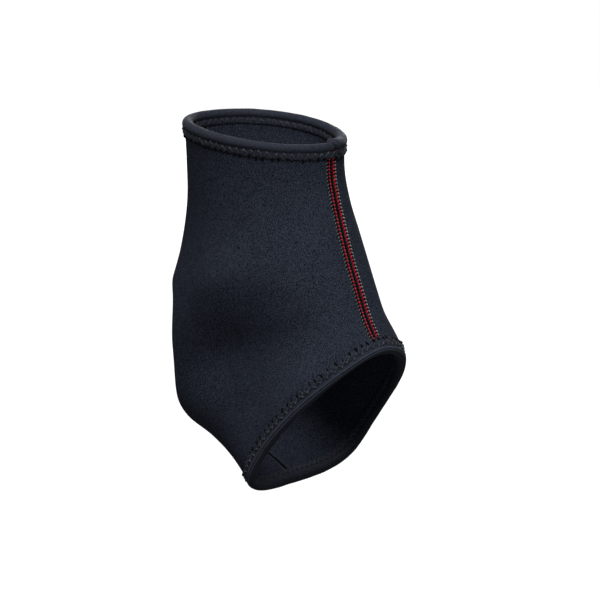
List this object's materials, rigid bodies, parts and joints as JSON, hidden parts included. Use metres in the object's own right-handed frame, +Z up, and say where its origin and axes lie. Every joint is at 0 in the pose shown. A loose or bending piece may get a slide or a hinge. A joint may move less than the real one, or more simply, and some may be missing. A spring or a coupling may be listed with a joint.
{
  "type": "ankle brace",
  "caption": "Open-heel ankle brace of fabric-faced neoprene for a right ankle, with taped rims and flat stitched seams, in the form that it has when worn.",
  "frame": {"origin": "centre of the wearer's ankle, inside the hollow, where the brace sits on the leg", "axes": "+Z up the leg, -Y towards the toes, +X towards the wearer's left, which is the inner side of a right foot"},
  "size_m": [0.0911, 0.133, 0.1873],
  "materials": {
    "neoprene": "blue-black heathered jersey knit, bonded to both faces of a 3 mm foam",
    "binding_tape": "smooth black stretch tape, folded over the rim and held by a zigzag stitch",
    "seam_thread": "two rows of red cord stitch with grey thread loops outside them"
  },
  "bodies": {
    "root": {"outer_panel": "neoprene", "inner_panel": "neoprene", "leg_binding": "binding_tape", "foot_binding": "binding_tape", "front_seam": "seam_thread", "back_seam": "seam_thread", "sole_seam": "seam_thread"}
  },
  "joints": []
}
